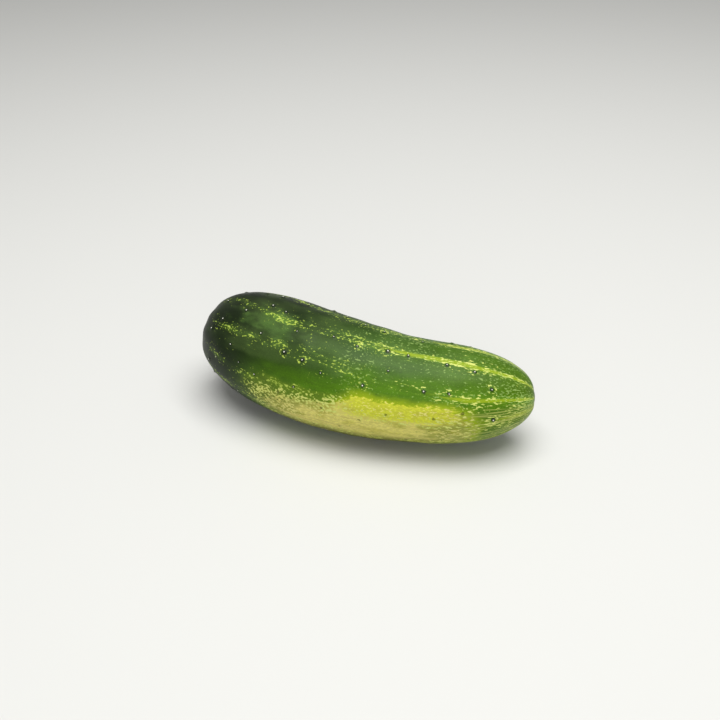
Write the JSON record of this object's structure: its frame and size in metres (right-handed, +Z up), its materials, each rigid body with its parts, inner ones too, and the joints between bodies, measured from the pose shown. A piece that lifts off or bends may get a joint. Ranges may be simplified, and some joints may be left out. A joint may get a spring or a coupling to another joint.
{
  "type": "cucumber",
  "caption": "Whole fresh cucumber, slightly bent and blunt at both ends, with low warts and a pale ground spot, lying on its side.",
  "frame": {"origin": "on the surface that the cucumber lies on, under the middle of its bounding box", "axes": "+X runs along the fruit from the stem end to the blossom end, +Y points to the hollow side of the bend, +Z is up"},
  "size_m": [0.1658, 0.0614, 0.0562],
  "materials": {
    "cucumber_skin": "waxy green vegetable skin, semi-gloss, with pale flecks in lengthwise bands"
  },
  "bodies": {
    "root": {"cucumber": "cucumber_skin"}
  },
  "joints": []
}
